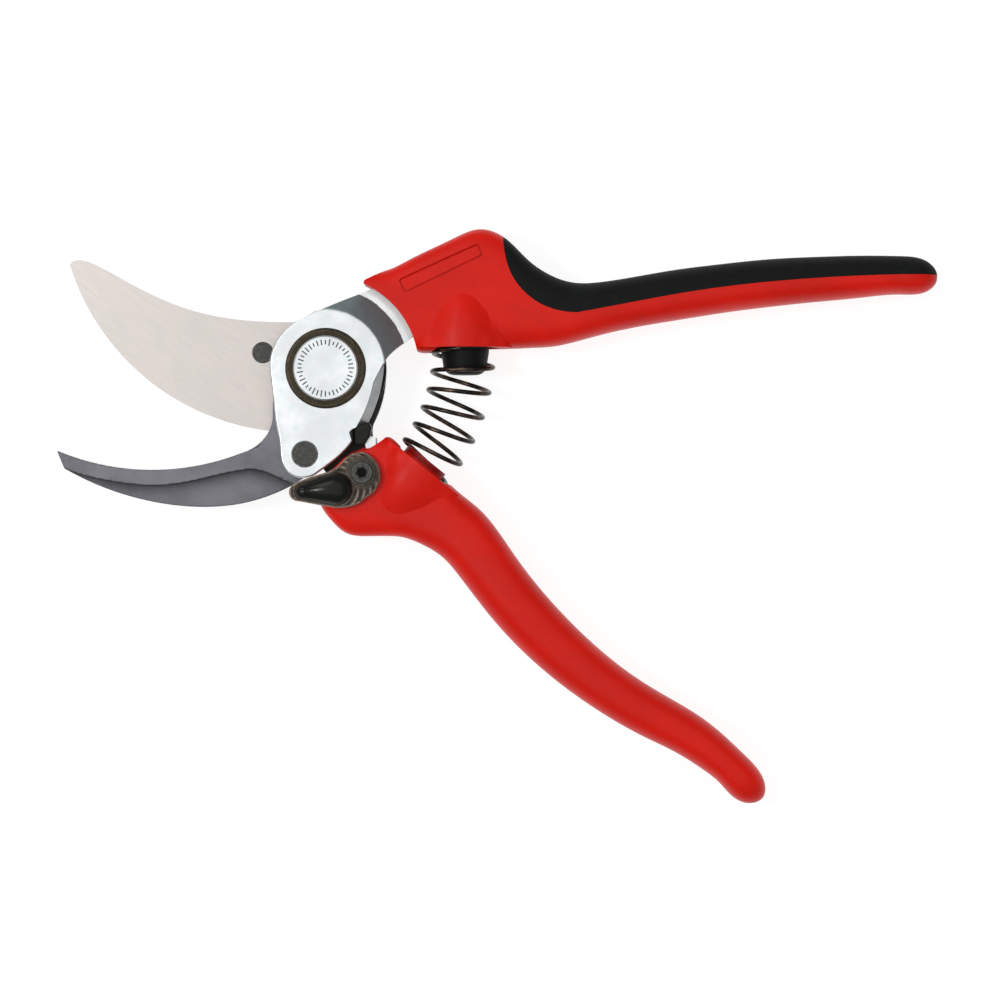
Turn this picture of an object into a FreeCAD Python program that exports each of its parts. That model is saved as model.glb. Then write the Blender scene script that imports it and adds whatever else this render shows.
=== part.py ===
import FreeCAD, Part
import math
import os

# Bypass pruning shears, lying flat with the jaws open. Millimetres, +Z up.
# The pivot axis is the Z axis and the back of the pivot nut is the plane z = 0.

V = FreeCAD.Vector

# Layers through the pivot, from the back to the front
NUT_TOP = 3.3
SPRING_WASHER_TOP = 3.9
TANG_Z = (4.0, 7.0)
BLADE_Z = (7.0, 10.2)
COUNTER_Z = (10.3, 14.0)
COUNTER_STEP = 12.2
PLATE_Z = (14.0, 17.0)
ARM_Z = (9.0, 12.0)
RECESS_FLOOR = 15.2
MID_Z = 10.4

# Pivot
SHANK_R = 4.0
BUSH_BORE_R = 4.05
BUSH_R = 6.0
HUB_R = 14.6
TANG_HUB_R = 14.0
RING_R = 9.86
CAP_R = 7.95
CAP_TOP = 18.2
NUT_FLATS = 13.0
JOGGLE_R = (14.4, 20.0)
PLATE_BEVEL = 2.0
PLATE_ROUND = 0.45
RIGHT_EDGE_TOP = (14.2, 1.2)
RIGHT_EDGE = [(13.0, -6.3), (10.4, -13.1)]
RIVET_HEAD_DEPTH = 0.8

# Blade and counter-blade
EDGE_CENTRE = (-7.5, 42.6)
EDGE_R = 58.2
BEVEL_WIDTH = 9.0
EDGE_LAND = 0.25
BLADE_RIVET = (-15.8, 4.1)
BLADE_RIVET_R = 2.65
COUNTER_RIVET = (-5.1, -21.0)
COUNTER_RIVET_R = 2.8
COUNTER_RIVET_HEAD_R = 3.3

# Lock lever
LEVER_PIN = (9.0, -25.5)
SCREW_R = 2.0
SLEEVE_R = 2.6
LEVER_Z = (17.3, 20.3)
LEVER_SEAT = 17.2
CATCH_R = 16.3
CATCH_Z = 18.9
LIP_TOP = 18.6
STOP_EAR_TOP = 15.8
STOP_FACE = [(10.9, -16.6), (9.6, -18.6)]

# Return spring: its centre line is an arc, and its coils lie between two more
SPRING_CENTRE = (-11.6, 4.9)
SPRING_ARC_R = 45.3
COIL_R = 7.4
WIRE_R = 0.56
FIRST_HALF_TURN = 5.46
HALF_TURN = 3.44
HALF_TURNS = 14
POCKET_R = 8.6
POCKET_DEPTH = 5.0
POST_R = (4.9, 5.8)
POST_RISE = 1.45
UPPER_SEAT = (33.6, 4.7)
LOWER_SEAT_ANGLE = -38.7

# Handle shells. The ends that face the pivot are hollowed about it.
UPPER_END_R = 22.7
LOWER_END_R = 22.3
LEDGE_R = 21.4
LEDGE_TOP = 12.0
GRIP_SKIN = 2.2
GROOVE_DEPTH = 0.6

# Swelling round a spring pocket: its cross-section, as distance across and height,
# and how far it has sunk to SWELL_LEVEL and narrowed at each depth into the handle
SWELL_LEVEL = 6.5
SWELL_SECTION = [(0.0, 10.2), (2.2, 10.0), (4.3, 9.3), (6.3, 8.4), (8.2, 7.5), (10.2, 6.6), (11.6, 4.5)]
SWELL_STATIONS = [(0.5, 1.0, 1.0), (4.0, 0.97, 0.96), (8.0, 0.82, 0.82), (11.0, 0.55, 0.66),
                  (13.5, 0.26, 0.52), (15.5, 0.0, 0.42)]


def edge_through(points):
    """A line through two points, an arc through three, a curve through more."""
    if len(points) == 2:
        return Part.makeLine(*points)
    if len(points) == 3:
        return Part.Arc(*points).toShape()
    curve = Part.BSplineCurve()
    curve.interpolate(points)
    return curve.toShape()


def slab(start, *runs, z):
    """A flat plate. Each run of corners goes on from the last one."""
    low, high = z
    edges = []
    here = start
    for run in runs:
        points = [V(x, y, low) for x, y in [here] + run]
        edges.append(edge_through(points))
        here = run[-1]
    if here != start:
        edges.append(Part.makeLine(V(*here, low), V(*start, low)))
    return Part.Face(Part.Wire(edges)).extrude(V(0, 0, high - low))


def drum(radius, z, at=(0, 0)):
    """A round disc or pin along Z."""
    low, high = z
    return Part.makeCylinder(radius, high - low, V(at[0], at[1], low))


def ring(inner, outer, z, at=(0, 0)):
    return drum(outer, z, at).cut(drum(inner, z, at))


def turned(corners, base, along, dome=None):
    """A turned solid: (radius, height) corners, then a dome's arc (mid, end) and its flat crown."""
    points = [V(r, 0, h) for r, h in corners]
    edges = [Part.makeLine(a, b) for a, b in zip(points, points[1:])]
    if dome:
        mid, end = (V(r, 0, h) for r, h in dome)
        axis = V(0, 0, end.z)
        edges.append(Part.Arc(points[-1], mid, end).toShape())
        edges.append(Part.makeLine(end, axis))
        points.append(axis)
    edges.append(Part.makeLine(points[-1], points[0]))
    solid = Part.Face(Part.Wire(edges)).revolve(V(0, 0, 0), V(0, 0, 1), 360)
    turn = FreeCAD.Rotation(V(0, 0, 1), V(*along))
    solid.Placement = FreeCAD.Placement(V(*base), turn)
    return solid


def hexagon(flats, z):
    corner = flats / math.sqrt(3)
    points = []
    for k in range(6):
        turn = math.radians(60 * k)
        points.append((corner * math.cos(turn), corner * math.sin(turn)))
    return slab(points[0], *[[p] for p in points[1:]], z=z)


def on_arc(radius, degrees):
    turn = math.radians(degrees)
    x = SPRING_CENTRE[0] + radius * math.cos(turn)
    y = SPRING_CENTRE[1] + radius * math.sin(turn)
    return x, y


def lower_seat():
    """Where the spring's centre line meets the lower handle, and its direction."""
    x, y = on_arc(SPRING_ARC_R, LOWER_SEAT_ANGLE)
    turn = math.radians(LOWER_SEAT_ANGLE)
    return (x, y, MID_Z), (math.sin(turn), -math.cos(turn), 0)


# Cutting blade, its rivet and the bush it turns on

def cutting_blade():
    body = slab(
        (-13.8, -15.2),
        [(-44.6, -2.2), (-63.3, 25.7)],
        [(-62.9, 26.4)],
        [(-62.0, 26.8)],
        [(-60.2, 26.8), (-56.6, 25.5), (-47.0, 20.3), (-31.2, 13.9), (-15.5, 11.7), (-7.5, 11.6)],
        [(-3.0, 14.3)],
        [(HUB_R, 0.0), (9.6, -11.0)],
        [(4.0, -14.0)],
        z=BLADE_Z,
    )
    base, top = BLADE_Z
    slope = (top - EDGE_LAND - base) / BEVEL_WIDTH
    inner = EDGE_R - BEVEL_WIDTH
    outer = EDGE_R + 2
    centre = (*EDGE_CENTRE, 0)
    drop = slope * (outer - inner)
    bevel = turned([(inner, base), (outer, base), (outer, base + drop)], centre, (0, 0, 1))
    reach = Part.makeBox(60, 80, 20, V(-72.5, -30, 0))
    body = body.cut(bevel.common(reach))
    body = body.cut(drum(BUSH_R, BLADE_Z))
    return body.cut(drum(BLADE_RIVET_R, BLADE_Z, BLADE_RIVET))


def blade_rivet():
    low = TANG_Z[0] - 0.3
    shank = drum(BLADE_RIVET_R, (TANG_Z[0], BLADE_Z[1]), BLADE_RIVET)
    head = drum(BLADE_RIVET_R + 0.9, (low, TANG_Z[0]), BLADE_RIVET)
    return shank.fuse(head).removeSplitter()


def pivot_bush():
    return ring(BUSH_BORE_R, BUSH_R, (TANG_Z[0], BLADE_Z[1]))


# Lower tang: hub, blade ear, stop ear and the tongue inside the lower handle

def stop_ear():
    return slab(STOP_FACE[0], [STOP_FACE[1]], [(9.9, -19.6)], [(12.3, -19.3)], [(12.1, -16.8)],
                z=(TANG_Z[0], STOP_EAR_TOP))


def lower_tang():
    hub = drum(TANG_HUB_R, TANG_Z)
    blade_ear = slab(
        (-15.0, 10.3),
        [(-21.9, 4.9), (-16.2, -2.1)],
        [(-4.0, -13.4)],
        [(4.0, 13.0)],
        z=TANG_Z,
    )
    neck = slab(
        (-3.0, -10.0),
        [(-1.6, -22.0)],
        [(-1.0, -24.6), (1.6, -27.2), (4.6, -30.0), (7.5, -33.6), (12.5, -36.2), (24.0, -38.4), (29.0, -42.4),
         (41.0, -58.0)],
        [(43.2, -59.2), (44.2, -57.0)],
        [(34.5, -43.5), (27.0, -35.4), (20.0, -30.6), (14.6, -26.8), (12.4, -23.5), (12.0, -19.0)],
        [(11.1, -16.2), (11.3, -13.4)],
        [(13.8, -6.5), (14.4, 0.0)],
        z=TANG_Z,
    )
    body = hub.fuse([blade_ear, neck, stop_ear()]).removeSplitter()
    body = body.cut(drum(BUSH_R, TANG_Z))
    body = body.cut(drum(BLADE_RIVET_R, TANG_Z, BLADE_RIVET))
    return body.cut(drum(SCREW_R, TANG_Z, LEVER_PIN))


# Counter-blade and its rivet

def counter_outline(z):
    return slab(
        (-66.0, -20.2),
        [(-42.6, -24.8), (-20.6, -20.6)],
        [(-17.0, -18.8), (-14.9, -16.7), (-13.7, -14.6), (-13.1, -11.0)],
        [(-13.0, -2.5)],
        [(0.0, 13.2), (12.4, -4.5)],
        [(5.0, -12.2)],
        [(2.6, -19.5)],
        [(-0.4, -22.6)],
        [(-4.4, -26.0)],
        [(-8.3, -28.5)],
        [(-13.3, -30.8), (-20.6, -33.0), (-29.7, -33.9), (-43.3, -32.5), (-56.9, -28.2), (-64.2, -24.5)],
        z=z,
    )


def counter_blade():
    base = counter_outline((COUNTER_Z[0], COUNTER_Z[1]))
    low_side = slab(
        (-68.0, -22.5),
        [(-59.5, -26.0), (-52.0, -27.6), (-43.0, -28.5), (-34.2, -27.7), (-25.1, -25.6), (-20.6, -24.8)],
        [(-16.5, -24.8), (-12.8, -26.1), (-8.0, -28.3)],
        [(-8.0, -40.0)],
        [(-68.0, -40.0)],
        z=(COUNTER_STEP, COUNTER_Z[1] + 1),
    )
    body = base.cut(low_side)
    body = body.cut(drum(SHANK_R, COUNTER_Z))
    return body.cut(drum(COUNTER_RIVET_R, COUNTER_Z, COUNTER_RIVET))


def counter_blade_rivet():
    low, high = COUNTER_Z[0], PLATE_Z[1]
    shank = drum(COUNTER_RIVET_R, (low, high + 0.05), COUNTER_RIVET)
    head = drum(COUNTER_RIVET_HEAD_R, (high - RIVET_HEAD_DEPTH, high), COUNTER_RIVET)
    return shank.fuse(head).removeSplitter()


# Head plate: flat head and lobe, and an arm that steps down into the upper handle

def plate_bevel():
    """What a wide bevel takes off the head's right edge, on a cone about that edge's centre."""
    arc = edge_through([V(x, y, 0) for x, y in [RIGHT_EDGE_TOP] + RIGHT_EDGE]).Curve
    high = PLATE_Z[1]
    inner, outer = arc.Radius - PLATE_BEVEL, arc.Radius + 3
    wedge = [(inner, high), (outer, high + 1), (outer, high - (outer - inner))]
    cone = turned(wedge, (arc.Center.x, arc.Center.y, 0), (0, 0, 1))
    reach = slab((6.0, -16.5), [(18.0, -16.5)], [(18.0, 3.1)], [(14.2, 1.6)], [(11.6, -3.4)], [(6.0, -5.0)],
                 z=(high - 5, high + 5))
    return cone.common(reach)


def plate_outline(z):
    return slab(
        (21.0, 7.9),
        [(19.1, 6.5), (16.2, 4.1), (14.8, 2.4), RIGHT_EDGE_TOP],
        RIGHT_EDGE,
        [(6.4, -14.9)],
        [(5.7, -15.6)],
        [(6.4, -18.0)],
        [(4.9, -19.9), (1.2, -23.2), (-2.6, -26.0)],
        [(-6.2, -26.8), (-9.2, -25.5)],
        [(-10.8, -22.7), (-11.3, -18.0), (-12.0, -14.3), (-12.9, -6.3), (-13.6, -1.0), (-13.5, 3.0),
         (-12.3, 6.2), (-10.1, 9.2), (-7.5, 11.3)],
        [(2.1, 15.8), (11.2, 19.7)],
        [(22.0, 25.5)],
        [(33.0, 29.0), (48.0, 20.5)],
        [(66.0, 16.4)],
        [(66.0, 12.6)],
        [(46.0, 14.0)],
        [(38.0, 18.2)],
        [(29.5, 18.2)],
        z=z,
    )


def head_plate():
    flat_r, low_r = JOGGLE_R
    far = 80
    low, high = PLATE_Z
    arm_low, arm_high = ARM_Z
    stepped = turned(
        [(0, low), (flat_r, low), (low_r, arm_low), (far, arm_low), (far, arm_high), (low_r, arm_high),
         (flat_r, high), (0, high)],
        (0, 0, 0), (0, 0, 1),
    )
    arm_side = slab((0, 0), [(14.4, 1.2)], [(90, 7.0)], [(90, 60)], [(-20, 60)], [(-4.6, 12.0)],
                    z=(0, 20))
    outline = plate_outline((0, 20))
    arm = outline.common(stepped).common(arm_side)
    head = plate_outline(PLATE_Z)
    rim = []
    for edge in head.Edges:
        box = edge.BoundBox
        if box.ZMin > high - 0.01 and box.XMax < 6 and box.YMax < 12:
            rim.append(edge)
    head = head.makeFillet(PLATE_ROUND, rim).cut(arm_side).cut(plate_bevel())
    body = head.fuse(arm).removeSplitter()
    body = body.cut(drum(RING_R, (RECESS_FLOOR, high)))
    body = body.cut(drum(SHANK_R, PLATE_Z))
    body = body.cut(drum(COUNTER_RIVET_R, PLATE_Z, COUNTER_RIVET))
    return body.cut(drum(COUNTER_RIVET_HEAD_R, (high - RIVET_HEAD_DEPTH, high), COUNTER_RIVET))


def stop_block():
    """Opening stop in the plate's notch, with the raised lip that the lock catches."""
    base = slab((5.7, -15.6), [(6.4, -14.9)], [(10.4, -13.1)], [(11.4, -14.3)], [STOP_FACE[0]], [STOP_FACE[1]],
                [(7.6, -19.0)], [(6.4, -18.0)], z=(PLATE_Z[0], PLATE_Z[1] + 0.2))
    lip = slab((5.7, -15.6), [(6.3, -15.0)], [(6.8, -14.8)], [(6.9, -18.3)], [(6.4, -18.0)],
               z=(PLATE_Z[0], LIP_TOP))
    return base.fuse(lip).removeSplitter()


# Pivot hardware

def pivot_bolt():
    shank = drum(SHANK_R, (0, RECESS_FLOOR))
    head = drum(CAP_R, (RECESS_FLOOR, CAP_TOP))
    edge = [e for e in head.Edges if e.BoundBox.ZMin > CAP_TOP - 0.01]
    head = head.makeChamfer(0.35, edge)
    return shank.fuse(head).removeSplitter()


def pivot_ring():
    top = PLATE_Z[1] + 0.7
    body = ring(CAP_R, RING_R, (RECESS_FLOOR, top))
    rim = []
    for edge in body.Edges:
        if edge.BoundBox.ZMin > top - 0.01 and edge.BoundBox.XLength > 2 * RING_R - 1:
            rim.append(edge)
    return body.makeFillet(0.6, rim)


def pivot_spring_washer():
    return ring(SHANK_R, 7.0, (NUT_TOP, SPRING_WASHER_TOP))


def pivot_nut():
    body = hexagon(NUT_FLATS, (0, NUT_TOP))
    corners = turned([(0, 0), (6.9, 0), (7.9, 1.0), (7.9, NUT_TOP), (0, NUT_TOP)], (0, 0, 0), (0, 0, 1))
    return body.common(corners).cut(drum(SHANK_R, (0, NUT_TOP)))


# Handle shells

UPPER_STATIONS = [
    # top edge, bottom edge, half thickness, squareness
    ((7.0, 21.6), (18.6, 7.2), 6.9, 4.5),
    ((14.0, 24.0), (24.4, 4.0), 7.2, 4.5),
    ((19.9, 26.6), (28.5, 4.3), 7.3, 4.5),
    ((25.8, 29.5), (33.5, 4.6), 7.4, 4.5),
    ((31.7, 32.3), (38.5, 4.8), 7.5, 4.3),
    ((37.6, 34.3), (43.0, 5.0), 7.6, 4.0),
    ((43.5, 32.4), (47.0, 5.1), 7.7, 3.6),
    ((49.4, 26.9), (51.5, 5.3), 7.8, 3.2),
    ((55.4, 22.9), (56.5, 5.7), 7.9, 2.9),
    ((61.3, 21.2), (62.5, 7.1), 8.0, 2.7),
    ((67.2, 21.4), (68.5, 8.7), 8.0, 2.6),
    ((84.9, 24.3), (87.0, 12.2), 8.0, 2.5),
    ((96.7, 25.8), (98.5, 14.0), 8.0, 2.5),
    ((108.5, 27.0), (109.5, 15.4), 7.8, 2.5),
    ((120.3, 27.6), (121.0, 16.6), 7.5, 2.5),
    ((132.1, 27.9), (132.3, 17.7), 7.2, 2.5),
    ((141.0, 27.8), (141.0, 18.4), 6.7, 2.5),
    ((146.6, 27.0), (146.6, 18.7), 5.6, 2.4),
    ((149.2, 25.2), (149.2, 20.2), 3.6, 2.2),
    ((150.1, 23.4), (150.1, 21.9), 1.2, 2.0),
]

LOWER_STATIONS = [
    ((0.1, -24.5), (-1.2, -32.6), 6.4, 4.5),
    ((4.4, -20.2), (1.2, -37.2), 7.1, 4.5),
    ((9.4, -18.4), (5.2, -40.5), 7.2, 4.5),
    ((15.6, -16.6), (11.1, -41.1), 7.2, 4.5),
    ((19.3, -19.9), (16.0, -41.1), 7.2, 4.0),
    ((24.5, -23.9), (19.9, -41.7), 7.3, 3.6),
    ((28.8, -27.1), (24.3, -43.6), 7.4, 3.2),
    ((33.2, -30.9), (28.8, -46.6), 7.6, 2.9),
    ((37.7, -34.6), (33.0, -51.5), 7.8, 2.7),
    ((46.5, -46.2), (41.2, -62.0), 8.0, 2.5),
    ((58.3, -60.5), (52.4, -73.3), 8.0, 2.5),
    ((74.0, -74.4), (68.0, -84.8), 7.9, 2.5),
    ((82.9, -80.1), (77.5, -90.2), 7.7, 2.5),
    ((91.0, -84.9), (86.0, -94.4), 7.5, 2.5),
    ((97.5, -89.9), (92.5, -98.5), 7.3, 2.5),
    ((102.8, -94.9), (96.8, -102.0), 7.0, 2.5),
    ((106.6, -99.2), (100.4, -105.6), 6.2, 2.4),
    ((107.9, -102.8), (103.9, -106.8), 4.0, 2.2),
    ((107.4, -105.3), (106.2, -106.3), 1.2, 2.0),
]


def section(top, bottom, half, power):
    """A closed rounded section, upright on the line from the top edge to the bottom."""
    top = V(*top, MID_Z)
    bottom = V(*bottom, MID_Z)
    middle = (top + bottom) * 0.5
    reach = (top - bottom) * 0.5
    count = 24
    points = []
    for k in range(count):
        turn = 2 * math.pi * (k + 0.5) / count
        across, up = math.cos(turn), math.sin(turn)
        size = (abs(across) ** power + abs(up) ** power) ** (-1 / power)
        points.append(middle + reach * (across * size) + V(0, 0, half * up * size))
    curve = Part.BSplineCurve()
    curve.interpolate(points, PeriodicFlag=True)
    return Part.Wire(curve.toShape())


def handle_body(stations, inset=0.0):
    """A handle lofted through its stations; inset pulls in all but the bottom edge."""
    wires = []
    for top, bottom, half, power in stations:
        height = V(top[0] - bottom[0], top[1] - bottom[1], 0)
        drop = height * (inset / height.Length)
        low = (bottom[0] + drop.x, bottom[1] + drop.y) if inset else bottom
        wires.append(section((top[0] - drop.x, top[1] - drop.y), low, half - inset, power))
    return Part.makeLoft(wires, True, False)


def facing(shape, seat, along):
    """Places a shape made about the Z axis at a seat, with its Y axis turned along a direction."""
    turn = FreeCAD.Rotation(V(0, 1, 0), V(*along))
    shape.Placement = FreeCAD.Placement(V(*seat), turn)
    return shape


def swelling(seat, along):
    """Soft swelling of a handle around its spring pocket."""
    wires = []
    for depth, rise, width in SWELL_STATIONS:
        half = []
        for across, height in SWELL_SECTION:
            half.append((across * width, SWELL_LEVEL + (height - SWELL_LEVEL) * rise))
        mirrored = [(-x, z) for x, z in half[:0:-1]]
        front = mirrored + half
        back = [(x, -z) for x, z in front[::-1]]
        curve = Part.BSplineCurve()
        curve.interpolate([V(x, depth, z) for x, z in front + back], PeriodicFlag=True)
        wires.append(Part.Wire(curve.toShape()))
    return facing(Part.makeLoft(wires, True, False), seat, along)


def pocket(seat, along):
    """Space for the end of the spring, open towards the other handle."""
    return turned([(0, -8), (POCKET_R, -8), (POCKET_R, POCKET_DEPTH), (0, POCKET_DEPTH)], seat, along)


def grip_side():
    """Everything above the line where the soft grip meets the hard shell."""
    return slab(
        (43.4, 60.0),
        [(43.4, 31.0)],
        [(44.0, 27.0), (45.4, 22.9), (48.3, 18.9), (53.1, 15.4), (57.3, 14.0), (61.5, 13.6)],
        [(73.8, 15.9), (88.7, 18.6), (107.5, 21.0), (126.3, 22.4), (138.9, 22.9), (152.0, 23.0)],
        [(152.0, 60.0)],
        z=(-2, 24),
    )


def soft_grip():
    core = handle_body(UPPER_STATIONS[5:18], GRIP_SKIN)
    return handle_body(UPPER_STATIONS).common(grip_side()).cut(core)


def bumper():
    """Rubber bumper: a stub in the handle, and a tapered nose inside the spring."""
    x, y = 34.0, UPPER_SEAT[1]
    profile = [(0, -9.5), (3.5, -9.5), (3.5, -POCKET_DEPTH), (5.9, -POCKET_DEPTH), (5.9, 0.5), (5.3, 4.4)]
    return turned(profile, (x, y, MID_Z), (0, -1, 0), dome=((4.4, 5.6), (2.4, 6.1)))


def nose_trim():
    """What the rounded nose of the upper handle leaves out."""
    return slab((2.0, 19.9), [(10.0, 19.9)], [(9.35, 20.5), (9.3, 21.3), (9.9, 21.85), (11.2, 22.5)],
                [(14.5, 24.05)], [(14.5, 40.0)], [(2.0, 40.0)], z=(-2, 24))


def shoulder_trim():
    """What the rounded shoulder of the lower handle leaves out."""
    return slab((13.2, -17.95), [(14.4, -16.95), (15.3, -16.75), (16.4, -17.3), (18.9, -19.45)],
                [(22.0, -17.0)], [(12.0, -12.0)], z=(-5, 30))


def panel_groove():
    """A fine groove round a blank panel on the head of the upper handle."""
    sides = (MID_Z, MID_Z + 12)
    outer = slab((18.6, 22.1), [(36.4, 30.2)], [(37.4, 30.1), (37.8, 29.4)], [(38.3, 28.2)],
                 [(38.2, 27.5), (37.6, 26.9)], [(20.4, 18.7)], [(19.4, 18.6), (18.9, 19.2)], [(18.1, 21.0)],
                 [(18.1, 21.7), (18.6, 22.1)], z=sides)
    inner = slab((18.9, 21.6), [(36.5, 29.7)], [(37.0, 29.6), (37.3, 29.2)], [(37.8, 28.1)],
                 [(37.7, 27.7), (37.3, 27.4)], [(20.3, 19.2)], [(19.7, 19.1), (19.3, 19.5)], [(18.6, 20.9)],
                 [(18.6, 21.3), (18.9, 21.6)], z=sides)
    return outer.cut(inner).cut(handle_body(UPPER_STATIONS[:8], GROOVE_DEPTH))


def upper_handle_shell(grip):
    seat = (*UPPER_SEAT, MID_Z)
    body = handle_body(UPPER_STATIONS)
    body = body.fuse(swelling(seat, (0, 1, 0)))
    body = body.cut(drum(UPPER_END_R, (-5, 30)))
    body = body.cut(nose_trim())
    body = body.cut(grip)
    body = body.cut(pocket(seat, (0, 1, 0)))
    body = body.cut(bumper())
    body = body.cut(panel_groove())
    return body.cut(plate_outline(ARM_Z))


def lower_end():
    """What the end of the lower handle leaves free for the head, above a low ledge beside the plate."""
    ledge = slab((-6.0, -30.0), [(10.0, -30.0)], [(10.0, -14.0)], [(-6.0, -14.0)], z=(-5, LEDGE_TOP))
    ledge = ledge.cut(drum(LEDGE_R, (-5, LEDGE_TOP)))
    return drum(LOWER_END_R, (-5, 30)).cut(ledge)


def lower_handle_shell(tang):
    seat, along = lower_seat()
    body = handle_body(LOWER_STATIONS)
    body = body.fuse(swelling(seat, along))
    body = body.cut(shoulder_trim())
    body = body.cut(pocket(seat, along))
    bore, outside = POST_R
    post = turned([(0, 0.3), (bore, 0.3), (bore, -POST_RISE), (outside, -POST_RISE),
                   (outside, POCKET_DEPTH + 0.5), (0, POCKET_DEPTH + 0.5)], seat, along)
    body = body.fuse(post)
    plate_clearance = slab((-1.8, -26.9), [(2.2, -24.3)], [(6.0, -20.4)], [(7.3, -18.4)], [(8.0, -10.0)],
                           [(-6.0, -10.0)], z=(-5, 30))
    body = body.cut(lower_end())
    body = body.cut(drum(7.0, (-5, 30), COUNTER_RIVET))
    body = body.cut(plate_clearance)
    body = body.cut(lever_seat())
    body = body.cut(drum(SLEEVE_R, (TANG_Z[1], 30), LEVER_PIN))
    body = body.cut(drum(SCREW_R, (TANG_Z[0] - 2, TANG_Z[1]), LEVER_PIN))
    return body.cut(tang)


# Lock lever and its screw

def lever_outline(z):
    return slab(
        (8.9, -20.4),
        [(13.3, -24.8), (10.0, -31.6)],
        [(7.8, -33.2), (5.1, -34.0), (2.5, -34.1), (-0.6, -33.6), (-3.9, -33.0), (-6.5, -32.5)],
        [(-8.7, -31.0), (-8.2, -28.7)],
        [(-5.0, -27.1), (-2.0, -26.1), (0.6, -25.3), (3.0, -24.0), (5.0, -22.0), (6.7, -20.9)],
        z=z,
    )


def lever_seat():
    return slab((2.0, -18.0), [(16.0, -16.0)], [(15.2, -24.0), (14.2, -29.5), (11.2, -33.4), (5.0, -36.0)],
                [(-4.0, -36.0)], [(-4.0, -18.0)], z=(LEVER_SEAT, 30))


def thumb_bump():
    """Smooth raised pad near the tip of the lever."""
    swell = turned([(0, 0), (6.6, 0)], (0, 0, 0), (0, 0, 1), dome=((4.6, 2.0), (0.5, 2.9)))
    stretch = FreeCAD.Matrix()
    stretch.scale(1.0, 0.58, 1.0)
    swell = swell.transformGeometry(stretch)
    swell.Placement = FreeCAD.Placement(V(-0.3, -29.8, LEVER_Z[0] + 1.6), FreeCAD.Rotation(V(0, 0, 1), 3))
    return swell


def lock_lever():
    low, high = LEVER_Z
    base = lever_outline((low, high - 1.0))
    crown = drum(4.6, (low, high), LEVER_PIN)
    body = base.fuse([crown, thumb_bump()]).removeSplitter()
    body = body.common(lever_outline((low, high + 6)))
    beyond = ring(CATCH_R, CATCH_R + 20, (low - 1, CATCH_Z), LEVER_PIN)
    body = body.cut(beyond)
    body = body.cut(drum(SLEEVE_R + 0.05, (low - 1, high + 2), LEVER_PIN))
    return body


def lever_sleeve():
    return ring(SCREW_R, SLEEVE_R, (TANG_Z[1], LEVER_Z[1] + 0.1), LEVER_PIN)


def lever_washer():
    return ring(SCREW_R, 3.2, (LEVER_Z[1] + 0.1, LEVER_Z[1] + 0.5), LEVER_PIN)


def lever_screw():
    low = LEVER_Z[1] + 0.5
    shank = drum(SCREW_R, (TANG_Z[0], low), LEVER_PIN)
    head = drum(2.4, (low, low + 1.3), LEVER_PIN)
    body = shank.fuse(head).removeSplitter()
    reach = (low + 0.2, low + 2)
    lobes = []
    for k in range(6):
        turn = math.radians(60 * k + 12)
        lobes.append(drum(0.42, reach, (1.15 * math.cos(turn), 1.15 * math.sin(turn))))
    socket = drum(1.1, reach).fuse(lobes)
    socket.translate(V(*LEVER_PIN, 0))
    return body.cut(socket)


# Return spring

def return_spring():
    """Round wire coiled along an arc, as half turns that meet at its two edges."""
    halves = []
    for k in range(HALF_TURNS):
        spots = []
        for j in (k, k + 1):
            side = -COIL_R if j % 2 == 0 else COIL_R
            spots.append(V(*on_arc(SPRING_ARC_R + side, FIRST_HALF_TURN - j * HALF_TURN), MID_Z))
        start, end = spots
        chord = end - start
        wire_end = Part.Face(Part.Wire(Part.makeCircle(WIRE_R, start, V(0, 0, 1))))
        front = k % 2 == 1
        spin = V(0, 0, 1).cross(chord) if front else chord.cross(V(0, 0, 1))
        halves.append(wire_end.revolve((start + end) * 0.5, spin, 180))
    return halves[0].fuse(halves[1:])


def main():
    os.makedirs("parts", exist_ok=True)
    grip = soft_grip()
    tang = lower_tang()
    nodes = {
        "head_plate": head_plate(),
        "counter_blade": counter_blade(),
        "counter_blade_rivet": counter_blade_rivet(),
        "stop_block": stop_block(),
        "pivot_bolt": pivot_bolt(),
        "pivot_ring": pivot_ring(),
        "pivot_spring_washer": pivot_spring_washer(),
        "pivot_nut": pivot_nut(),
        "upper_handle_shell": upper_handle_shell(grip),
        "soft_grip": grip,
        "bumper": bumper(),
        "return_spring": return_spring(),
        "cutting_blade": cutting_blade(),
        "blade_rivet": blade_rivet(),
        "pivot_bush": pivot_bush(),
        "lower_tang": tang,
        "lower_handle_shell": lower_handle_shell(tang),
        "lock_lever": lock_lever(),
        "lever_sleeve": lever_sleeve(),
        "lever_washer": lever_washer(),
        "lever_screw": lever_screw(),
    }
    for name, shape in nodes.items():
        print(f"{name:22s} solids {len(shape.Solids)} valid {shape.isValid()} {shape.BoundBox}")
        shape.exportStep(f"parts/{name}.step")


if __name__ == "__main__":
    main()
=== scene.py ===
"""Looks for a pair of bypass pruning shears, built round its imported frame."""

import math

import bmesh
import bpy
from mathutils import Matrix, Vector
from mathutils.kdtree import KDTree


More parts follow.
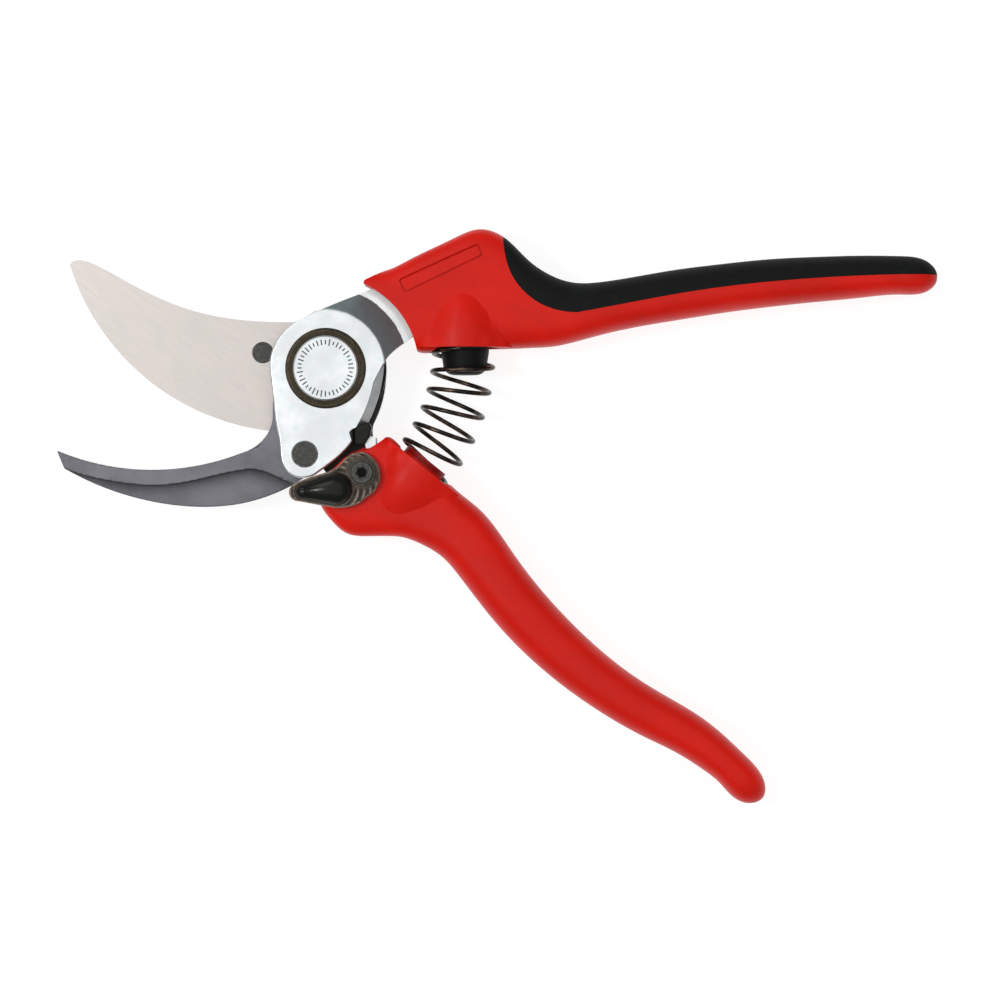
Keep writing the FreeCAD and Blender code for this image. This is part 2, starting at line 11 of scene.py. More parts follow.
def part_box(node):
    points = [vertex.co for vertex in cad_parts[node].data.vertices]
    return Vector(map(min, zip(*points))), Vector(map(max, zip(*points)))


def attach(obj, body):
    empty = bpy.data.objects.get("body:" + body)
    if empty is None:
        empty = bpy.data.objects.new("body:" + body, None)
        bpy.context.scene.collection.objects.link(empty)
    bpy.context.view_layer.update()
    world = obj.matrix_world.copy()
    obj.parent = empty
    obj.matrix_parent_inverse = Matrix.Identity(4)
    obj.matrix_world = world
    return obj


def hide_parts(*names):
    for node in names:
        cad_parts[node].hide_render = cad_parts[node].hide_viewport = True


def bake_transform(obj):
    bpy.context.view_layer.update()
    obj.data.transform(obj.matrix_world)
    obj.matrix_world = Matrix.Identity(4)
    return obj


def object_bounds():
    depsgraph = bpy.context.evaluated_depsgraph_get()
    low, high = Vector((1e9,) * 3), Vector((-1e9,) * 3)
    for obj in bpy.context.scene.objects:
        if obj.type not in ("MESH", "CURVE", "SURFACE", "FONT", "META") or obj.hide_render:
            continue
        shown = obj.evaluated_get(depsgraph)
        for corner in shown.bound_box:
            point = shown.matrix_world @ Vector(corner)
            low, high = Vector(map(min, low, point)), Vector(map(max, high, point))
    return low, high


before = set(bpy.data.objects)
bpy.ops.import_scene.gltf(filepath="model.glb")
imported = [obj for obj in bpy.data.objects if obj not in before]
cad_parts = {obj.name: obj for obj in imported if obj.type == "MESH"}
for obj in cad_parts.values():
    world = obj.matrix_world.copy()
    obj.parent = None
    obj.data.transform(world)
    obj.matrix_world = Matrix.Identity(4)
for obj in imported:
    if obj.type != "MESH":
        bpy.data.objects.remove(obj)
CAD_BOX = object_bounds()

bl_info = {
    "name": "Pruning shears looks",
    "version": (1, 0, 0),
    "blender": (4, 5, 0),
    "location": "View3D > Sidebar > Shears",
    "description": "Builds the finishes and fine pieces of a pair of bypass pruning shears",
    "category": "Object",
}

MM = 0.001
ARM_HEADING = math.radians(50)
# Painted shade: black of the lever screw's socket.
HOLE_SHADE = (0.004, 0.004, 0.004, 1)
COOL_SPANGLE = (0.60, 0.68, 0.71, 1)
WARM_STEEL = (0.66, 0.585, 0.55, 1)
BROWN_PATCH = (0.13, 0.085, 0.06, 1)
DUST = (0.05, 0.048, 0.042, 1)
# Painted shade: colour of the cap marks, for the shade in engraved grooves.
MARK_GROOVE_SHADE = (0.06, 0.07, 0.07, 1)
MARK_SCALES = (0.55, 1.25)
SKY_COLOUR = (0.95, 0.97, 1.0, 1)
SKY_STRENGTH = 0.30
FLOOR_REACH = 3
SENSOR_WIDTH = 36
BLADE_SHARP = math.radians(35)
LEVER_SHARP = math.radians(50)
WELD = 0.001 * MM
CLOSE = 0.01 * MM


# Measures from the frame

def node_top(node):
    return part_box(node)[1].z


def node_middle(node):
    low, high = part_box(node)
    return (low + high) / 2


# Shader writing

class Signal:
    """One output of a shader node. Arithmetic on it adds Math nodes."""

    def __init__(self, finish, socket):
        self.finish = finish
        self.socket = socket

    def math(self, kind, *others, clamp=False):
        values = {0: self}
        for place, other in enumerate(others):
            values[place + 1] = other
        return self.finish.add("ShaderNodeMath", values, operation=kind, use_clamp=clamp)

    def __add__(self, other):
        return self.math("ADD", other)

    def __sub__(self, other):
        return self.math("SUBTRACT", other)

    def __mul__(self, other):
        return self.math("MULTIPLY", other)

    def __truediv__(self, other):
        return self.math("DIVIDE", other)

    def __rsub__(self, other):
        return (self * -1.0) + other

    __radd__ = __add__
    __rmul__ = __mul__

    def step(self, low, high):
        """0 below low, 1 above high, smooth between; low may be above high."""
        return self.finish.add(
            "ShaderNodeMapRange", {0: self, 1: low, 2: high}, interpolation_type="SMOOTHSTEP")

    def sine(self):
        return self.math("SINE")


class Finish:
    """A material under construction, with its Principled shader."""

    def __init__(self, name, **sockets):
        self.material = bpy.data.materials.new(name)
        self.material.use_nodes = True
        self.tree = self.material.node_tree
        self.shader = self.tree.nodes["Principled BSDF"]
        for label, value in sockets.items():
            self.socket(label).default_value = value

    def socket(self, label):
        """The shader's input of that name, written in lower case with underscores."""
        return next(i for i in self.shader.inputs if i.name.lower().replace(" ", "_") == label)

    def add(self, kind, values=(), output=0, **settings):
        """A node with its settings made first, then its sockets set or linked."""
        node = self.tree.nodes.new(kind)
        for label, value in settings.items():
            setattr(node, label, value)
        for key, value in dict(values).items():
            if isinstance(value, Signal):
                self.tree.links.new(value.socket, node.inputs[key])
            else:
                node.inputs[key].default_value = value
        return Signal(self, node.outputs[output])

    def feed(self, **signals):
        for label, signal in signals.items():
            self.tree.links.new(signal.socket, self.socket(label))

    def place(self, centre=(0, 0, 0), turn=0.0, stretch=(1, 1, 1)):
        """Object coordinates in metres, centred, turned about Z, then stretched."""
        spot = self.add("ShaderNodeTexCoord", output="Object")
        moved = self.add("ShaderNodeVectorMath", {0: spot, 1: centre}, operation="SUBTRACT")
        turned = self.add("ShaderNodeMapping", {"Vector": moved, "Rotation": (0, 0, turn)})
        return self.add("ShaderNodeVectorMath", {0: turned, 1: stretch}, operation="MULTIPLY")

    def axis(self, where, letter):
        return self.add("ShaderNodeSeparateXYZ", {0: where}, output=letter)

    def radius(self, where):
        """Distance from the pattern's own Z axis."""
        x, y = self.axis(where, "X"), self.axis(where, "Y")
        return (x * x + y * y).math("SQRT")

    def noise(self, where, size, detail=4.0, rough=0.55):
        """Noise with features about size metres across, from 0 to 1."""
        return self.add("ShaderNodeTexNoise",
                        {"Vector": where, "Scale": 1 / size, "Detail": detail, "Roughness": rough})

    def mix(self, amount, first, second, blend="MIX"):
        return self.add("ShaderNodeMix", {0: amount, 6: first, 7: second}, output=2,
                        data_type="RGBA", blend_type=blend)

    def bump(self, height, depth, strength=1.0, under=None):
        """Relief of depth metres; under is a bump that this one lies on."""
        values = {"Height": height, "Distance": depth, "Strength": strength}
        if under:
            values["Normal"] = under
        return self.add("ShaderNodeBump", values)


def shade(colour, factor):
    """A colour made lighter or darker."""
    return tuple(min(1.0, c * factor) for c in colour[:3]) + (1.0,)


# Finishes

def zinc_plating(colour):
    """Bright zinc: soft clouding and a fine sandy grain."""
    f = Finish("zinc_plating", metallic=1.0)
    tone, rough, relief = zinc_pattern(f, colour)
    f.feed(base_color=tone, roughness=rough, normal=relief)
    return f.material


def zinc_pattern(f, colour):
    spot = f.place()
    cloud = f.noise(spot, 7 * MM, detail=3)
    grain = f.noise(spot, 0.35 * MM, detail=5, rough=0.7)
    spangle = f.noise(spot, 2.2 * MM, detail=2)
    tone = f.mix(cloud.step(0.35, 0.7), shade(colour, 0.84), colour)
    cool = f.mix(spangle.step(0.50, 0.7) * 0.6, tone, COOL_SPANGLE)
    return cool, grain * 0.14 + cloud * 0.08 + 0.27, f.bump(grain + spangle * 0.6, 0.02 * MM, 0.6)


def pressed_zinc(colour, bend_shade, bend):
    """Zinc whose plating is duller, less metallic and rougher where the plate was pressed down between two
    radii, with painted shade there: a grey band for the dark reflection of the sloped step, and a darker
    arm beyond it.
    """
    f = Finish("pressed_zinc")
    tone, rough, relief = zinc_pattern(f, colour)
    away = f.radius(f.place())
    smear = f.noise(f.place(), 3 * MM, detail=4)
    edge = away + smear * 0.8 * MM
    inner, outer = bend
    spot = f.place(turn=-ARM_HEADING)
    arm = f.axis(spot, "X").step(5 * MM, 6.5 * MM)
    rise = edge.step(inner - 0.1 * MM, inner + 0.9 * MM)
    fall = edge.step(outer + 0.5 * MM, outer + 0.3 * MM)
    band = rise * fall * arm
    # Painted shade: the arm beyond the step is darkened.
    arm_shade = edge.step(outer + 1.5 * MM, outer + 2.0 * MM) * arm
    flat = f.mix(arm_shade * 0.7, tone, shade(colour, 0.70))
    # Painted shade: the stepped band takes a painted grey for the dark reflection of its sloped face; it is
    # also made less metallic and rougher.
    dulled_and_shaded = f.mix(band, flat, f.mix(smear, bend_shade, shade(bend_shade, 1.5)))
    f.feed(base_color=dulled_and_shaded, metallic=1 - band * 0.75, roughness=rough + band * 0.15, normal=relief)
    return f.material


def greased_zinc(colour, hub_shade, level):
    """Zinc with painted shade below a level: near black there, for the shade on the low parts under the
    head plate.
    """
    f = Finish("greased_zinc")
    tone, rough, relief = zinc_pattern(f, colour)
    smear = f.noise(f.place(), 1.5 * MM, detail=5)
    # Painted shade: below the level, the zinc turns near black.
    clean = (f.axis(f.place(), "Z") - smear * 1.0 * MM).step(level, level + 0.8 * MM)
    f.feed(base_color=f.mix(clean, hub_shade, tone), metallic=clean * 0.7 + 0.3)
    f.feed(roughness=rough, normal=relief)
    return f.material


def ground_steel(colour, hub_shade, edge):
    """Blade steel: fine grinding lines, faint warm clouding, and painted shade, near black, beyond an X
    line on the hub, for the shade beside the head plate.
    """
    f = Finish("ground_steel", metallic=0.7)
    lines = f.noise(f.place(turn=math.radians(38), stretch=(1, 26, 1)), 9 * MM, detail=6, rough=0.7)
    spot = f.place()
    cloud = f.noise(spot, 8 * MM, detail=3)
    speck = f.noise(spot, 0.5 * MM, detail=3, rough=0.7)
    warm = f.mix(cloud.step(0.35, 0.7) * 0.5, colour, WARM_STEEL)
    streak = f.mix(lines.step(0.3, 0.75) * 0.35, warm, shade(colour, 0.86))
    clean = f.mix(speck.step(0.55, 0.8) * 0.35, streak, shade(colour, 0.75))
    # Painted shade: beyond the X line, the steel turns near black.
    hub_shaded = (f.axis(spot, "X") + cloud * 1.5 * MM).step(edge, edge + 1.5 * MM)
    f.feed(base_color=f.mix(hub_shaded, clean, hub_shade))
    f.feed(roughness=lines * 0.16 + speck * 0.08 + 0.36)
    f.feed(normal=f.bump(lines + speck * 0.4, 0.03 * MM, 0.5))
    return f.material


def phosphate(colour):
    """Dark matte coating with a fine crystal speckle, and painted shade, black, in the crease of the blade.
    """
    f = Finish("phosphate_coating", metallic=0.55)
    spot = f.place()
    crystal = f.noise(spot, 0.45 * MM, detail=6, rough=0.75)
    cloud = f.noise(spot, 9 * MM, detail=3)
    base = f.mix(cloud.step(0.35, 0.7), shade(colour, 0.85), shade(colour, 1.15))
    speckled = f.mix(crystal.step(0.52, 0.75) * 0.55, base, shade(colour, 1.9))
    # Painted shade: black where this weight is high, along the foot of the step.
    crease_shade = f.add("ShaderNodeAttribute", output="Fac", attribute_name="crease_shade")
    f.feed(base_color=f.mix(crease_shade, speckled, shade(colour, 0.12)))
    f.feed(roughness=crystal * 0.18 + 0.42)
    f.feed(normal=f.bump(crystal, 0.04 * MM, 0.7))
    return f.material


def dark_steel(name, colour, centre, rim, hole=0.0, edge=3.0, ring_pitch=0.55 * MM):
    """Oiled dark steel with turning rings about its axis, a rubbed rim and painted shade, black, in its
    hole.
    """
    f = Finish(name, metallic=0.9)
    spot = f.place(centre=centre)
    away = f.radius(spot)
    rings = (away * (2 * math.pi / ring_pitch)).sine()
    grime = f.noise(spot, 0.8 * MM, detail=5, rough=0.7)
    rubbed = away.step(rim * 0.86, rim) * grime.step(0.35, 0.6)
    base = f.mix(grime.step(0.35, 0.7), shade(colour, 0.7), shade(colour, 1.25))
    ringed = f.mix(rings.step(0.0, 1.0) * 0.35, base, shade(colour, 2.2))
    worn = f.mix(rubbed * 0.6, ringed, shade(colour, edge))
    # Painted shade: black inside the hole's radius.
    solid = away.step(hole - 0.05 * MM, hole + 0.05 * MM)
    f.feed(base_color=f.mix(solid, HOLE_SHADE, worn))
    f.feed(roughness=grime * 0.2 + 0.3)
    f.feed(normal=f.bump(rings * 0.6 + grime, 0.02 * MM, 0.8))
    return f.material


def moulded_red(name, colour, seat=None):
    """Glass-filled red moulding: satin, faint flow clouding, fine grain.

    seat is the spring seat's middle, heading and reach: the post beyond it gets painted shade, a darker
    red.
    """
    f = Finish(name, specular_ior_level=0.18)
    spot = f.place()
    flow = f.noise(f.place(turn=math.radians(20), stretch=(1, 2.5, 1)), 22 * MM, detail=3)
    grain = f.noise(spot, 0.28 * MM, detail=3, rough=0.6)
    scuff = f.noise(f.place(turn=math.radians(-35), stretch=(1, 14, 1)), 5 * MM, detail=5, rough=0.75)
    tone = f.mix(flow.step(0.35, 0.7), shade(colour, 0.92), shade(colour, 1.06))
    clean = f.mix(scuff.step(0.66, 0.8) * 0.10, tone, shade(colour, 1.3))
    if seat:
        middle, heading, reach = seat
        post = f.place(centre=middle, turn=-heading)
        beyond = (f.axis(post, "X") + grain * 0.3 * MM).step(0.05 * MM, 0.5 * MM)
        near = f.axis(post, "Y").math("ABSOLUTE").step(reach + 0.4 * MM, reach)
        # Painted shade: the post beyond the seat is darkened.
        clean = f.mix(beyond * near * 0.8, clean, shade(colour, 0.25))
    f.feed(base_color=clean)
    f.feed(roughness=grain * 0.10 + scuff.step(0.6, 0.8) * 0.08 + 0.36)
    f.feed(normal=f.bump(grain, 0.02 * MM, 0.5, under=f.bump(flow, 0.10 * MM, 0.4)))
    return f.material


def soft_rubber(name, colour, rough=0.62):
    """Matte elastomer with a fine leathery grain and dusty paler patches."""
    f = Finish(name, specular_ior_level=0.15)
    spot = f.place()
    cell = f.add("ShaderNodeTexVoronoi", {"Vector": spot, "Scale": 1 / (0.55 * MM)},
                 feature="SMOOTH_F1")
    dust = f.noise(spot, 6 * MM, detail=5, rough=0.7)
    f.feed(base_color=f.mix(dust.step(0.45, 0.75), colour, shade(colour, 2.0)))
    f.feed(roughness=dust * 0.15 + rough)
    f.feed(normal=f.bump(cell, 0.05 * MM, 0.6))
    return f.material


def spring_wire(colour):
    """Drawn, oil-blackened wire: die lines along it and brown rubbed patches."""
    f = Finish("spring_wire", metallic=0.85)
    along = f.add("ShaderNodeAttribute", output="Vector", attribute_name="wire_place")
    die = f.noise(f.add("ShaderNodeVectorMath", {0: along, 1: (1, 60, 60)}, operation="MULTIPLY"),
                  12 * MM, detail=4)
    patch = f.noise(f.place(), 3.5 * MM, detail=4, rough=0.65)
    base = f.mix(patch.step(0.45, 0.7), colour, BROWN_PATCH)
    f.feed(base_color=f.mix(die.step(0.5, 0.8) * 0.4, base, shade(colour, 2.6)))
    f.feed(roughness=patch * 0.15 + 0.26)
    f.feed(normal=f.bump(die, 0.02 * MM, 0.5))
    return f.material


def worn_black(colour, worn):
    """The lever's finish: glossy on the raised pad, brown and rubbed to metal on its base."""
    f = Finish("worn_black_enamel", specular_ior_level=0.2)
    spot = f.place()
    pad = f.add("ShaderNodeAttribute", output="Fac", attribute_name="pad").step(0.15, 0.5)
    crest = f.add("ShaderNodeAttribute", output="Fac", attribute_name="rubbed")
    rub = f.noise(spot, 1.1 * MM, detail=6, rough=0.75)
    fine = f.noise(spot, 0.3 * MM, detail=4, rough=0.7)
    bare = crest * (rub * 0.9 + fine * 0.9).step(0.55, 1.0)
    base = f.mix(bare, f.mix(rub.step(0.35, 0.62), shade(worn, 0.2), shade(worn, 0.5)), shade(worn, 2.3))
    f.feed(base_color=f.mix(pad, base, colour), metallic=(1 - pad) * 0.75)
    f.feed(roughness=(1 - pad) * (rub * 0.25 + 0.26) + fine * 0.05 + 0.2)
    f.feed(normal=f.bump(rub * (1 - pad) + fine * 0.3, 0.05 * MM, 0.6))
    return f.material


def black_enamel(colour):
    """Thick glossy black, slightly uneven, with patches of dust."""
    f = Finish("black_enamel", specular_ior_level=0.2)
    dust = f.noise(f.place(), 0.9 * MM, detail=5, rough=0.7)
    f.feed(base_color=f.mix(dust.step(0.55, 0.75) * 0.6, colour, DUST))
    f.feed(roughness=dust * 0.25 + 0.12)
    f.feed(normal=f.bump(dust, 0.08 * MM, 0.5))
    return f.material


def plain_bronze(colour):
    f = Finish("bearing_bronze", metallic=1.0)
    spot = f.place()
    cloud = f.noise(spot, 2 * MM, detail=4)
    f.feed(base_color=f.mix(cloud, shade(colour, 0.7), colour), roughness=cloud * 0.2 + 0.3)
    f.feed(normal=f.bump(cloud, 0.02 * MM, 0.5))
    return f.material


def pale_floor(colour, glow):
    f = Finish("pale_floor", emission_color=(1, 1, 1, 1), emission_strength=glow)
    spot = f.place()
    cloud = f.noise(spot, 60 * MM, detail=2)
    f.feed(base_color=f.mix(cloud, shade(colour, 0.985), colour), roughness=cloud * 0.05 + 0.75)
    return f.material


# Mesh helpers

def smooth(value):
    """0 below 0, 1 above 1, smooth between."""
    value = max(0.0, min(1.0, value))
    return value * value * (3 - 2 * value)


def new_piece(name, bm, material, rounded=True):
    """A finished piece at the origin from a bmesh, with outward faces."""
    bmesh.ops.recalc_face_normals(bm, faces=bm.faces)
    mesh = bpy.data.meshes.new(name)
    bm.to_mesh(mesh)
    bm.free()
    mesh.materials.append(material)
    piece = bpy.data.objects.new(name, mesh)
    bpy.context.scene.collection.objects.link(piece)
    if rounded:
        mesh.shade_smooth()
    return piece


def baked_copy(piece, name):
    """The evaluated object as a plain mesh, with no modifiers left."""
    bpy.context.view_layer.update()
    seen = piece.evaluated_get(bpy.context.evaluated_depsgraph_get())
    mesh = bpy.data.meshes.new_from_object(seen)
    mesh.name = name
    result = bpy.data.objects.new(name, mesh)
    bpy.context.scene.collection.objects.link(result)
    bpy.data.objects.remove(piece)
    return result


def merged_copy(node):
    """A CAD node's shape as a bmesh with its corners joined."""
    bm = bmesh.new()
    bm.from_mesh(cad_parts[node].data)
    bmesh.ops.remove_doubles(bm, verts=bm.verts, dist=WELD)
    return bm


def softened(node, name, material, voxel, passes):
    """A finely meshed copy of a node with its edges rounded by smoothing."""
    cast = new_piece(name + "_cast", merged_copy(node), material)
    remesh = cast.modifiers.new("remesh", "REMESH")
    remesh.mode = "VOXEL"
    remesh.voxel_size = voxel
    remesh.use_smooth_shade = True
    calm = cast.modifiers.new("smooth", "SMOOTH")
    calm.iterations = passes
    return baked_copy(cast, name)


def outline_at(node, height):
    """The outer outline of a node cut at a height: points in order, as (x, y)."""
    bm = merged_copy(node)
    cut = bmesh.ops.bisect_plane(bm, geom=bm.verts[:] + bm.edges[:] + bm.faces[:],
                                 plane_co=(0, 0, height), plane_no=(0, 0, 1))["geom_cut"]
    edges = dict.fromkeys(e for e in cut if isinstance(e, bmesh.types.BMEdge))
    loops = []
    while edges:
        edge = edges.popitem()[0]
        loop = [edge.verts[0], edge.verts[1]]
        while True:
            following = next((e for e in loop[-1].link_edges if e in edges), None)
            if following is None:
                break
            del edges[following]
            loop.append(following.other_vert(loop[-1]))
        loops.append([v.co.xy.copy() for v in loop[:-1]])
    bm.free()

    def spread(loop):
        return max(p.x for p in loop) - min(p.x for p in loop)

    return max(loops, key=spread)


def evenly(loop, count):
    """The same closed outline as count points at equal steps along it."""
    ends = loop[1:] + loop[:1]
    total = sum((b - a).length for a, b in zip(loop, ends))
    step = total / count
    points = []
    due = 0.0
    gone = 0.0
    for a, b in zip(loop, ends):
        span = (b - a).length
        while due < gone + span and len(points) < count:
            points.append(a.lerp(b, (due - gone) / span))
            due += step
        gone += span
    return points


def dress(node, material):
    """Gives a CAD node its finish."""
    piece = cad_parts[node]
    piece.data.materials.clear()
    piece.data.materials.append(material)
    return piece


# Settings

def colour_value(name, description, default):
    return bpy.props.FloatVectorProperty(name=name, description=description, subtype="COLOR", size=4,
                                         min=0.0, max=1.0, default=default)


def length_value(name, description, default):
    return bpy.props.FloatProperty(name=name, description=description, default=default, unit="LENGTH",
                                   precision=5)


class FinishSettings(bpy.types.PropertyGroup):
    """Colours of the finishes"""

    zinc: colour_value("Zinc", "Plating of the head plate and tang", (0.75, 0.77, 0.77, 1))
    blade: colour_value("Blade", "Ground blade steel", (0.60, 0.56, 0.53, 1))
    phosphate: colour_value("Counter-blade", "Dark coating of the counter-blade",
                            (0.155, 0.155, 0.172, 1))
    rivet: colour_value("Rivets", "Oiled steel of the rivets", (0.055, 0.055, 0.052, 1))
    ring: colour_value("Pivot ring", "Burnished ring round the bolt's head", (0.035, 0.028, 0.018, 1))
    red: colour_value("Handle red", "Moulded handle shells", (0.72, 0.009, 0.002, 1))
    grip: colour_value("Soft grip", "Soft insert of the upper handle", (0.0045, 0.0055, 0.0045, 1))
    rubber: colour_value("Bumper", "Rubber of the bumper", (0.0035, 0.004, 0.004, 1))
    wire: colour_value("Spring wire", "Oil-blackened wire", (0.022, 0.018, 0.015, 1))
    lever: colour_value("Lever", "Glossy enamel of the lock lever", (0.007, 0.007, 0.005, 1))
    lever_worn: colour_value("Lever wear", "Rubbed base of the lock lever", (0.16, 0.13, 0.105, 1))
    screw_washer: colour_value("Screw washer", "Rubbed washer under the lever's screw",
                               (0.045, 0.04, 0.034, 1))
    # Painted shade: grey of the plate's stepped band, for the dark reflection of its sloped face.
    bend_shade: colour_value("Pressed band", "Dulled plating where the plate steps down",
                          (0.13, 0.165, 0.17, 1))
    # Painted shade: near-black colour for the shade on the tang and the blade's hub under the head plate.
    hub_shade: colour_value("Grease", "Old grease round the hub", (0.012, 0.012, 0.012, 1))
    bronze: colour_value("Bush", "Bearing bronze", (0.50, 0.36, 0.18, 1))


class SpringSettings(bpy.types.PropertyGroup):
    """The coil spring between the handles"""

    centre_x: length_value("Arc centre X", "Centre of the arc that the spring follows", -0.0116)
    centre_y: length_value("Arc centre Y", "Centre of the arc that the spring follows", 0.0049)
    arc: length_value("Arc radius", "Radius of the spring's centre line", 0.0453)
    coil: length_value("Coil radius", "Mean radius of the coils", 0.0074)
    wire: length_value("Wire radius", "Radius of the wire", 0.00056)
    start: bpy.props.FloatProperty(name="Start", description="Where the first coil begins on the arc",
                                   default=math.radians(5.46), subtype="ANGLE")
    half_turn: bpy.props.FloatProperty(name="Half turn", description="Arc angle of half a coil",
                                       default=math.radians(3.44), subtype="ANGLE")
    seat_gap: bpy.props.FloatProperty(name="Seat gap",
                                      description="From the last coil to the lower seat",
                                      default=math.radians(4.0), subtype="ANGLE")
    half_turns: bpy.props.IntProperty(name="Half turns", description="Number of half coils", default=14)
    sides: bpy.props.IntProperty(name="Sides", description="Points round the wire", default=14)
    steps: bpy.props.IntProperty(name="Steps", description="Rings of points in half a coil", default=22)


class DetailSettings(bpy.types.PropertyGroup):
    """Small marks and softened edges"""

    ticks: bpy.props.IntProperty(name="Cap marks", description="Radial marks round the bolt's head",
                                 default=40)
    tick_radius: length_value("Mark radius", "Middle of the ring of marks", 0.0063)
    tick_length: length_value("Mark length", "Length of each mark", 0.00135)
    tick_width: length_value("Mark width", "Width of each mark", 0.0003)
    bend_inner: length_value("Bend start", "Radius where the head plate begins to step down", 0.0144)
    bend_outer: length_value("Bend end", "Radius where the step ends", 0.0200)
    # Painted shade: the next two settings place the shade painted on the tang and on the blade's hub.
    hub_shade_level: length_value("Grease level", "Height that the tang's grease reaches", 0.0088)
    hub_shade_edge: length_value("Grease edge", "Where the grease on the blade's hub begins", 0.0035)
    # Painted shade: the socket of the lever's screw is painted black out to this radius.
    socket_radius: length_value("Socket radius", "Radius of the black hole in the lever's screw", 0.0012)
    stop_voxel: length_value("Stop mesh", "Size of the stop block's mesh", 0.00011)
    stop_passes: bpy.props.IntProperty(name="Stop passes", description="Smoothing passes on the stop block",
                                       default=160)
    tick_seed: bpy.props.IntProperty(name="Mark seed", description="Choice of the marks' lengths",
                                     default=7)
    tick_rise: length_value("Mark rise", "Height of the marks above the bolt's head", 0.00003)
    scoop_pitch: length_value("Scoop mesh", "Size of the mesh in the counter-blade's hollow", 0.0004)
    scoop_lip: length_value("Scoop lip", "Sharp step along the curved line", 0.00015)
    scoop_right: length_value("Scoop right", "Where the hollow's mesh ends towards the pivot", -0.012)
    scoop_top: length_value("Scoop top", "Where the hollow's mesh ends towards the blade", -0.020)
    # Painted shade: width of the black painted along the counter-blade's crease.
    crease_shade_width: length_value("Crease width", "Width of the black in the counter-blade's crease",
                               0.0005)
    scoop_fall: length_value("Scoop fall", "How soon the counter-blade's hollow deepens", 0.0016)


class LeverSettings(bpy.types.PropertyGroup):
    """The lock lever. Places are measured from its screw, heights from its underside"""

    sides: bpy.props.IntProperty(name="Sides", description="Points round the outline", default=320)
    rings: bpy.props.IntProperty(name="Rings", description="Rings from the bore to the outline",
                                 default=64)
    outline_below: length_value("Outline depth", "How far below its top the outline is taken", 0.00275)
    tip_x: length_value("Pad tip X", "Small end of the pad", -0.0143)
    tip_y: length_value("Pad tip Y", "Small end of the pad", -0.0047)
    tip_radius: length_value("Pad tip radius", "Small end of the pad", 0.0017)
    tip_height: length_value("Pad tip height", "Height of the small end above the base", 0.0012)
    heel_x: length_value("Pad heel X", "Large end of the pad", -0.0064)
    heel_y: length_value("Pad heel Y", "Large end of the pad", -0.0040)
    heel_radius: length_value("Pad heel radius", "Large end of the pad", 0.0040)
    heel_height: length_value("Pad heel height", "Height of the large end above the base", 0.0028)
    base_height: length_value("Base height", "Thickness of the base", 0.0021)
    boss_radius: length_value("Boss radius", "Raised ring under the screw", 0.0036)
    boss_fade: length_value("Boss fade", "Width over which the raised ring falls to the base", 0.0014)
    boss_height: length_value("Boss height", "Height of the raised ring", 0.0003)
    ridge_pitch: length_value("Ridge pitch", "Distance between ridges", 0.0015)
    tip_pitch: length_value("Tip pitch", "Distance between the ridges at the tip", 0.0007)
    ridge_height: length_value("Ridge height", "Depth of the ridges", 0.00045)
    rim_round: length_value("Rim rounding", "Radius of the rounded rim", 0.0006)
    least_wall: length_value("Least wall", "Thinnest part of the rim", 0.00035)
    catch_reach: length_value("Catch reach", "Distance from the screw to the catch face", 0.0159)
    catch_rise: length_value("Catch rise", "Height of the catch face", 0.0016)


class StageSettings(bpy.types.PropertyGroup):
    """Floor, light and camera"""

    field: length_value("Field", "Width that the camera sees at the shears", 0.246)
    height: length_value("Camera height", "Camera above the floor", 0.86)
    aim_x: length_value("Aim X", "Middle of the view", 0.0426)
    aim_y: length_value("Aim Y", "Middle of the view", -0.0322)
    floor: colour_value("Floor", "Plain pale floor", (0.22, 0.22, 0.22, 1))
    glow: bpy.props.FloatProperty(name="Glow", description="Light that the floor gives back",
                                  default=0.86)
    overhead: bpy.props.FloatProperty(name="Overhead", description="Power of the softbox", default=9.2,
                                      unit="POWER")
    key: bpy.props.FloatProperty(name="Key", description="Power of the key light", default=2.2,
                                 unit="POWER")
    sparkle: bpy.props.FloatProperty(name="Sparkle", description="Power of the small bright light",
                                     default=3.0, unit="POWER")


# Operators

class SHEARS_OT_stage(bpy.types.Operator):
    """Floor, softboxes and the camera straight above"""

    bl_idname = "shears.stage"
    bl_label = "Stage"

    def execute(self, context):
        s = context.scene.shears_stage
        bm = bmesh.new()
        bmesh.ops.create_grid(bm, x_segments=1, y_segments=1, size=FLOOR_REACH)
        floor = new_piece("floor", bm, pale_floor(s.floor, s.glow), rounded=False)
        world = bpy.data.worlds.new("studio")
        world.use_nodes = True
        sky = world.node_tree.nodes["Background"]
        sky.inputs["Color"].default_value = SKY_COLOUR
        sky.inputs["Strength"].default_value = SKY_STRENGTH
        context.scene.world = world
        context.scene.view_settings.view_transform = "Standard"
        aim = Vector((s.aim_x, s.aim_y, 0))
        self.softbox("overhead", aim, offset=(0, 0, 1.5), size=1.9, power=s.overhead)
        self.softbox("key", aim, offset=(-0.55, 0.75, 0.95), size=0.5, power=s.key)
        self.softbox("sparkle", aim, offset=(-0.60, 0.06, 1.0), size=0.14, power=s.sparkle)
        self.camera(context, s)
        return {"FINISHED"}

    def softbox(self, name, aim, offset, size, power):
        """A square light, placed from the point that it looks at."""
        light = bpy.data.lights.new(name, "AREA")
        light.size = size
        light.energy = power
        lamp = bpy.data.objects.new(name, light)
        lamp.location = aim + Vector(offset)
        lamp.rotation_euler = (aim - lamp.location).to_track_quat("-Z", "Y").to_euler()
        bpy.context.scene.collection.objects.link(lamp)

    def camera(self, context, s):
        data = bpy.data.cameras.new("camera")
        middle = (CAD_BOX[0][2] + CAD_BOX[1][2]) / 2
        data.sensor_width = SENSOR_WIDTH
        data.lens = data.sensor_width * (s.height - middle) / s.field
        camera = bpy.data.objects.new("camera", data)
        camera.location = (s.aim_x, s.aim_y, s.height)
        context.scene.collection.objects.link(camera)
        context.scene.camera = camera


